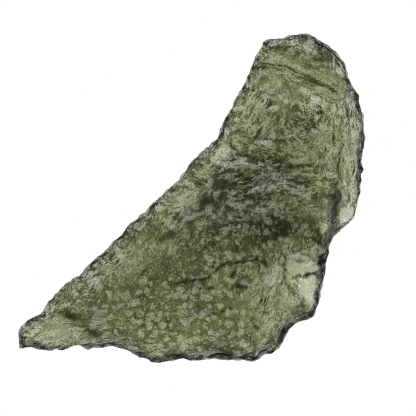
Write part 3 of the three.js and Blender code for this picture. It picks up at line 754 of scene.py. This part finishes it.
# The underside's looks: even, but for clouds and the same painted shade on the rim; its flecks slide with
# the height
def bellyLooks(x, y, z, inset):
    stripWidth, stripStrength = edgeAt(x, y)[4:]
    # painted shade on the underside's rim
    rimShade = (inset / stripWidth - tones["bellyStripStart"]) / tones["stripFade"]
    rimShade = stripStrength * (1 - smoothStep(rimShade))
    tone = tones["belly"] * (1 - tones["bellyRimPaintedShade"] * rimShade) + swells(x, y, tones["bellyClouds"])
    dull = frostAt(x + z, y - z, shard["bellySeed"])[0]
    return tone, dull, x, y, np.zeros(x.shape)


# Points along a side of the outline, with its small teeth
def outlineAt(side, share):
    x, y = alongCurve(side, share).T
    return np.stack(wavered(x, y, shard["ragged"]), -1)


# The outline all the way round, with the stated number of points on each side
def outlineChain(bellyPoints, hollowPoints):
    return np.vstack([
        outlineAt(bellySide, np.linspace(0, 1, bellyPoints)),
        outlineAt(hollowSide, np.linspace(1, 0, hollowPoints)),
    ])


# How far points near the outline move sideways: noises that slide with the height, fading inwards
def wallDents(points):
    x, y, z = points.T
    size = shard["wallGrain"]
    away = distanceTo(outlineChain(*shard["dentChainPoints"]), x, y)
    near = shard["wallRough"] * np.exp(-(away / shard["wallDepth"]) ** 2)
    return np.stack([
        near * rolling((x + z) / size, (y + z) / size, 111),
        near * rolling((x - z) / size, (y - z) / size, 113),
    ], -1)


# Rings of points, each a section over the broad face and back underneath, closed at both ends
def shardMesh():
    rows, over, under = shard["rows"], shard["columnsOver"], shard["columnsUnder"]
    along = np.arange(1, rows) / rows
    start, end = outlineAt(bellySide, along), outlineAt(hollowSide, along)
    chain = outlineChain(*shard["chainPoints"])

    # One side as a grid of x, y, z and looks, crowded at the edges as (1 - cos) / 2
    def lay(share, height, looks):
        crowded = (1 - np.cos(np.pi * share)) / 2
        across = (share + (crowded - share) * shard["edgeCrowding"])[None, :, None]
        grid = start[:, None] * (1 - across) + end[:, None] * across
        x, y = grid.reshape(-1, 2).T
        inset = distanceTo(chain, x, y)
        z = height(x, y, inset)
        return np.stack([x, y, z, *looks(x, y, z, inset)], -1).reshape(*grid.shape[:2], -1)

    face = lay(np.arange(over + 1) / over, faceHeight, faceLooks)
    belly = lay(1 - np.arange(1, under) / under, bellyHeight, bellyLooks)
    for column, side in ((0, start), (over, end)):
        face[:, column, 2] = edgeAt(side[:, 0], side[:, 1])[0]
    rings = np.concatenate([face, belly], axis=1)
    around = rings.shape[1]
    tips = np.array([hollowSide[0], hollowSide[-1]])
    tipLooks = np.tile(shard["tipLooks"], (2, 1))
    tipRows = np.column_stack([tips, edgeAt(tips[:, 0], tips[:, 1])[0], tipLooks])
    table = np.vstack([rings.reshape(-1, rings.shape[2]), tipRows])
    points, tone, frost, flow = table[:, :3], table[:, 3], table[:, 4], table[:, 5:]
    points[:, :2] += wallDents(points)
    points[:, :2] -= outlineMiddle
    k = np.arange(around)
    nextK = (k + 1) % around
    ring = (np.arange(rows - 2) * around)[:, None]
    quads = np.stack([ring + k, ring + around + k, ring + around + nextK, ring + nextK], -1).reshape(-1, 4)
    last = (rows - 2) * around
    pointed, blunt = (rows - 1) * around, (rows - 1) * around + 1
    fans = np.vstack([
        np.column_stack([np.full(around, pointed), k, nextK]),
        np.column_stack([last + k, np.full(around, blunt), last + nextK]),
    ])
    mesh = bpy.data.meshes.new(shard["name"] + "_skin")
    mesh.from_pydata((points * mm).tolist(), [], quads.tolist() + fans.tolist())
    mesh.shade_smooth()
    for name, kind, part, values in (("tone", "FLOAT", "value", tone), ("frost", "FLOAT", "value", frost),
                                     ("flow", "FLOAT_VECTOR", "vector", flow)):
        mesh.attributes.new(name, kind, "POINT").data.foreach_set(part, values.astype(np.float32).ravel())
    return mesh


# Adds an object with its data to the scene
def addObject(name, data):
    item = bpy.data.objects.new(name, data)
    bpy.context.scene.collection.objects.link(item)
    return item


# The empty node tree of a material or a world
def emptyTree(owner):
    owner.use_nodes = True
    owner.node_tree.nodes.clear()
    return owner.node_tree


# Adds one node with its settings and links: sockets maps an input's name to a value or to an output
def addNode(tree, kind, sockets=None, **settings):
    node = tree.nodes.new(kind)
    for name, value in settings.items():
        setattr(node, name, value)
    for name, value in (sockets or {}).items():
        if isinstance(value, bpy.types.NodeSocket):
            tree.links.new(value, node.inputs[name])
        else:
            node.inputs[name].default_value = value
    return node


# Output of a node that reckons: product, power, or first times second plus third
def reckoned(tree, operation, *values):
    return addNode(tree, "ShaderNodeMath", dict(enumerate(values)), operation=operation).outputs["Value"]


# Output of a node that maps a value evenly to a range and holds it inside that
def mapped(tree, value, toRange, fromRange=(0, 1)):
    return addNode(tree, "ShaderNodeMapRange", {
        "Value": value, "From Min": fromRange[0], "From Max": fromRange[1],
        "To Min": toRange[0], "To Max": toRange[1]}).outputs["Result"]


# Output of a node with cloudy noise
def clouded(tree, vector, scale, detail, roughness, **settings):
    sockets = {"Vector": vector, "Scale": scale, "Detail": detail, "Roughness": roughness}
    return addNode(tree, "ShaderNodeTexNoise", sockets, **settings).outputs["Fac"]


# The glass and its etched skin
glass = {
    "ior": 1.49,
    "absorbed": "#bec540",  # what a thick piece lets through
    "density": 545.0,  # per metre
    "transmission": 0.78,  # the etched skin scatters the rest
    "rough": (0.15, 0.5),  # roughness of the clear ground and of the flecks
    "ground": 0.49,  # lightness of the skin between the flecks
    "palest": 1.7,  # lightness at which the skin is as pale as it gets
    # colour of the skin from the darkest to the palest
    "levels": [(0, "#0d0e0a"), (0.12, "#3f422f"), (0.27, "#80826b"), (0.45, "#b3b4ad"), (0.68, "#d9d9d3"),
               (1, "#fafaf5")],
    "fleck": 2.45,  # how much lighter a fleck is
    "fleckTone": 0.2,  # flecks lose less than the ground in dark places
    "speck": 0.5,  # lightness of the finest bright specks, painted sparkle that stands for tiny glints
    "speckSize": 0.3,  # mm
    "speckRange": (0.54, 0.66),  # noise at which a speck starts and is complete
    "speckShare": 0.12,  # how many of them show where the skin is clear
    "grain": 0.155,  # mm, size of the finest grain
    "grainRange": (0.4, 0.6),  # noise at which the grain is darkest and lightest
    "grainTones": (0.06, 1.5),  # how light it is there
    "grainMean": 0.85,
    "grainShare": 0.45,  # how much of the grain shows where the skin is clear
    "veil": "#e0deff",  # cool grey that the skin takes on in dark places
    "veilTone": 0.3,  # at this lightness and below, fading out towards 1
    "lineLength": 0.7,  # of the fine lines, as shares of a wrinkle's length
    "lineSpacing": 0.36,  # and of its spacing
    "lineRange": (0.34, 0.66),
    "lineTones": (0.0, 2.0),
    "scratchDepth": 0.03,  # mm
}


# Natural glass that soil acids etched. Its clear ground lets the eye into deep green, paler and yellower
# where the glass is thin; the etched flecks and the lines along the wrinkles scatter light as pale frost;
# the fine grain breaks up the glints. The tone holds painted shade on the rim and in the creases and painted
# highlights on the ridges, and the finest bright specks are painted sparkle. Lightness = (ground x tone +
# (fleck x frost + painted sparkle) x tone to the power fleckTone) x grain x lines
def moldaviteGlass():
    material = bpy.data.materials.new("moldavite, natural glass etched by soil acids")
    tree = emptyTree(material)
    place = addNode(tree, "ShaderNodeTexCoord").outputs["Object"]
    # tone: the shades, with painted shade on the rim and in the creases and painted highlights on the ridges
    tone = addNode(tree, "ShaderNodeAttribute", attribute_name="tone").outputs["Fac"]
    frost = addNode(tree, "ShaderNodeAttribute", attribute_name="frost").outputs["Fac"]
    flow = addNode(tree, "ShaderNodeAttribute", attribute_name="flow").outputs["Vector"]

    # painted sparkle: bright specks in the colour that stand for tiny glints
    paintedSparkle = clouded(tree, place, 1 / (glass["speckSize"] * mm), 1.0, 0.5)
    paintedSparkle = mapped(tree, paintedSparkle, (0.0, glass["speck"]), glass["speckRange"])
    paintedSparkle = reckoned(tree, "MULTIPLY", paintedSparkle, mapped(tree, frost, (glass["speckShare"], 1.0)))
    pale = reckoned(tree, "MULTIPLY_ADD", frost, glass["fleck"], paintedSparkle)
    fleckTone = reckoned(tree, "POWER", tone, glass["fleckTone"])
    ground = reckoned(tree, "MULTIPLY", tone, glass["ground"])
    skin = reckoned(tree, "MULTIPLY_ADD", pale, fleckTone, ground)

    fine = clouded(tree, place, 1 / (glass["grain"] * mm), 2.0, 0.6)
    grain = addNode(tree, "ShaderNodeMix", {
        "Factor": mapped(tree, frost, (glass["grainShare"], 1.0)),
        "A": glass["grainMean"],
        "B": mapped(tree, fine, glass["grainTones"], glass["grainRange"]),
    }).outputs["Result"]
    skin = reckoned(tree, "MULTIPLY", skin, grain)

    lineSize = (1 / glass["lineLength"], 1 / glass["lineSpacing"], 0)
    drawn = addNode(tree, "ShaderNodeVectorMath", {0: flow, 1: lineSize}, operation="MULTIPLY")
    strands = clouded(tree, drawn.outputs["Vector"], 1.0, 2.0, 0.55, noise_dimensions="2D")
    lines = addNode(tree, "ShaderNodeMix", {
        "Factor": addNode(tree, "ShaderNodeSeparateXYZ", {"Vector": flow}).outputs["Z"],
        "A": 1.0,
        "B": mapped(tree, strands, glass["lineTones"], glass["lineRange"]),
    }).outputs["Result"]
    skin = reckoned(tree, "MULTIPLY", skin, lines)

    skin = reckoned(tree, "MULTIPLY", skin, 1 / glass["palest"])
    level = addNode(tree, "ShaderNodeValToRGB", {"Fac": skin})
    for share, _ in glass["levels"][1:-1]:
        level.color_ramp.elements.new(share)
    for element, (_, colour) in zip(level.color_ramp.elements, glass["levels"]):
        element.color = hexColour(colour)
    veil = addNode(tree, "ShaderNodeValToRGB", {"Fac": tone})
    veil.color_ramp.elements[0].position = glass["veilTone"]
    veil.color_ramp.elements[0].color = hexColour(glass["veil"])
    skinColour = addNode(tree, "ShaderNodeVectorMath", {
        0: level.outputs["Color"], 1: veil.outputs["Color"]}, operation="MULTIPLY")
    bump = addNode(tree, "ShaderNodeBump", {
        "Strength": 1.0,
        "Distance": glass["scratchDepth"] * mm,
        "Height": reckoned(tree, "MULTIPLY", fine, frost),
    })
    shader = addNode(tree, "ShaderNodeBsdfPrincipled", {
        "Base Color": skinColour.outputs["Vector"],
        "Roughness": mapped(tree, frost, glass["rough"]),
        "Normal": bump.outputs["Normal"],
        "IOR": glass["ior"],
        "Transmission Weight": glass["transmission"],
    })
    inner = addNode(tree, "ShaderNodeVolumeAbsorption", {
        "Color": hexColour(glass["absorbed"]), "Density": glass["density"]})
    addNode(tree, "ShaderNodeOutputMaterial", {
        "Surface": shader.outputs["BSDF"], "Volume": inner.outputs["Volume"]})
    return material


stone = addObject(shard["name"] + "_etched", shardMesh())
stone.data.materials.append(moldaviteGlass())
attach(stone, "root")
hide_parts(shard["name"])
print("shard made:", len(stone.data.vertices), "points")

# Metres and watts, unless a note says otherwise
studio = {
    "floorSize": 3.0,
    "floorDrop": 0.00002,  # keeps the floor clear of the stone
    "floor": "#ffffff",
    "floorGlow": 1.0,
    "backdrop": 0.2,  # strength of the even white all round
    "lightDistance": 0.45,
    "lightSize": 0.3,
    # name, direction from +x and height over the table in degrees, watts
    "lights": [("key", 185, 20, 1.3), ("fill", 32, 20, 1.0), ("back", 108, 20, 1.0),
               ("front", -65, 20, 0.7)],
    "frameWidth": 41.6,  # mm, 416 photograph pixels of 0.1 mm
    "photoMiddle": (1.7, -1.05),  # mm, in the coordinates of the outline's points
    "frameHeight": 2.8,  # mm over the table, where the frame has its width
    "lens": 200,  # mm
    "sensor": 36,  # mm
    "bounces": 16,  # enough for light to leave the glass
    "transmissionBounces": 12,
    "pixelFilter": 1.0,  # keeps the flecks as crisp as in the photo
}


# White light table, even and bright, that shines through the stone and gives the eye a plain ground
def makeFloor():
    half = studio["floorSize"] / 2
    mesh = bpy.data.meshes.new("table")
    corners = [(-half, -half, 0), (half, -half, 0), (half, half, 0), (-half, half, 0)]
    mesh.from_pydata(corners, [], [(0, 1, 2, 3)])
    floor = addObject("table", mesh)
    floor.location.z = -studio["floorDrop"]
    material = bpy.data.materials.new("white light table")
    tree = emptyTree(material)
    glow = addNode(tree, "ShaderNodeEmission", {
        "Color": hexColour(studio["floor"]), "Strength": studio["floorGlow"]})
    addNode(tree, "ShaderNodeOutputMaterial", {"Surface": glow.outputs["Emission"]})
    mesh.materials.append(material)


# A soft round light that faces the stone, at distance x (cos a cos e, sin a cos e, sin e)
def makeLight(name, azimuth, elevation, watts):
    data = bpy.data.lights.new(name, "AREA")
    data.shape = "DISK"
    data.size = studio["lightSize"]
    data.energy = watts
    light = addObject(name, data)
    a, e = math.radians(azimuth), math.radians(elevation)
    away = Vector((math.cos(a) * math.cos(e), math.sin(a) * math.cos(e), math.sin(e)))
    light.location = away * studio["lightDistance"]
    light.rotation_euler = away.to_track_quat("Z", "Y").to_euler()
    light.visible_camera = False


# Even dim white all round
def makeWorld():
    world = bpy.data.worlds.new("studio")
    tree = emptyTree(world)
    sky = addNode(tree, "ShaderNodeBackground", {"Color": (1, 1, 1, 1), "Strength": studio["backdrop"]})
    addNode(tree, "ShaderNodeOutputWorld", {"Surface": sky.outputs["Background"]})
    bpy.context.scene.world = world


# Above the middle of the photo, at width x lens / sensor over the height where the frame has its width
def makeCamera():
    data = bpy.data.cameras.new("camera")
    data.lens = studio["lens"]
    data.sensor_width = studio["sensor"]
    camera = addObject("camera", data)
    x, y = (at - middle for at, middle in zip(studio["photoMiddle"], outlineMiddle))
    height = studio["frameHeight"] + studio["frameWidth"] * studio["lens"] / studio["sensor"]
    camera.location = (x * mm, y * mm, height * mm)
    data.clip_start, data.clip_end = 0.01, 10
    bpy.context.scene.camera = camera


makeFloor()
for light in studio["lights"]:
    makeLight(*light)
makeWorld()
makeCamera()
scene = bpy.context.scene
scene.view_settings.view_transform = "Standard"
scene.cycles.max_bounces = studio["bounces"]
scene.cycles.filter_width = studio["pixelFilter"]
scene.cycles.transmission_bounces = studio["transmissionBounces"]
print("studio made")
